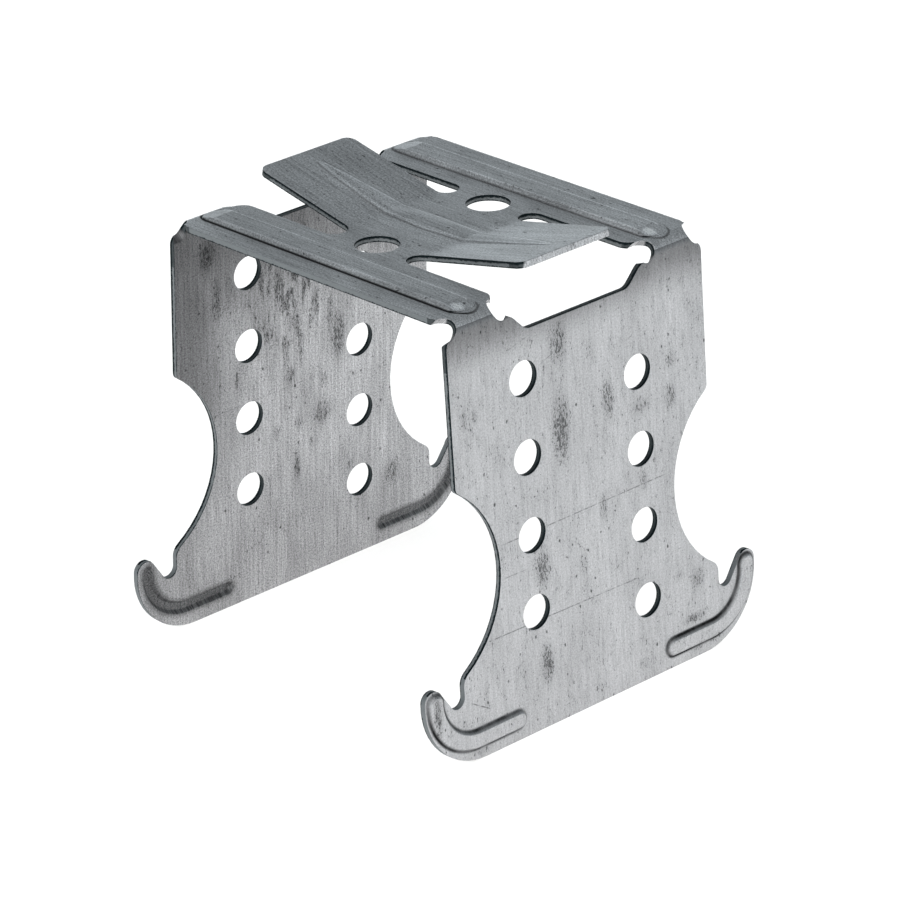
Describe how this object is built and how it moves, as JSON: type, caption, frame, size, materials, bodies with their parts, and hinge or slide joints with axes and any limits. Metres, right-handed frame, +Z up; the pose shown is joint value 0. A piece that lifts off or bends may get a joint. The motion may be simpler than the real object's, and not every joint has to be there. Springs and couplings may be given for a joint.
{
  "type": "drywall profile cross clip",
  "caption": "Bent sheet-steel bridge with two hooked legs that joins two crossing drywall ceiling profiles at two levels.",
  "frame": {"origin": "on the ground, centred between the bottom edges of both legs", "axes": "+X from the bridge's middle to one leg, +Y across the legs, +Z up from the hooks to the bridge"},
  "size_m": [0.0548, 0.0566, 0.0591],
  "materials": {
    "zinc_steel": "zinc-coated rolled sheet, satin, with faint smudges"
  },
  "bodies": {
    "root": {"cross_clip": "zinc_steel"}
  },
  "joints": []
}
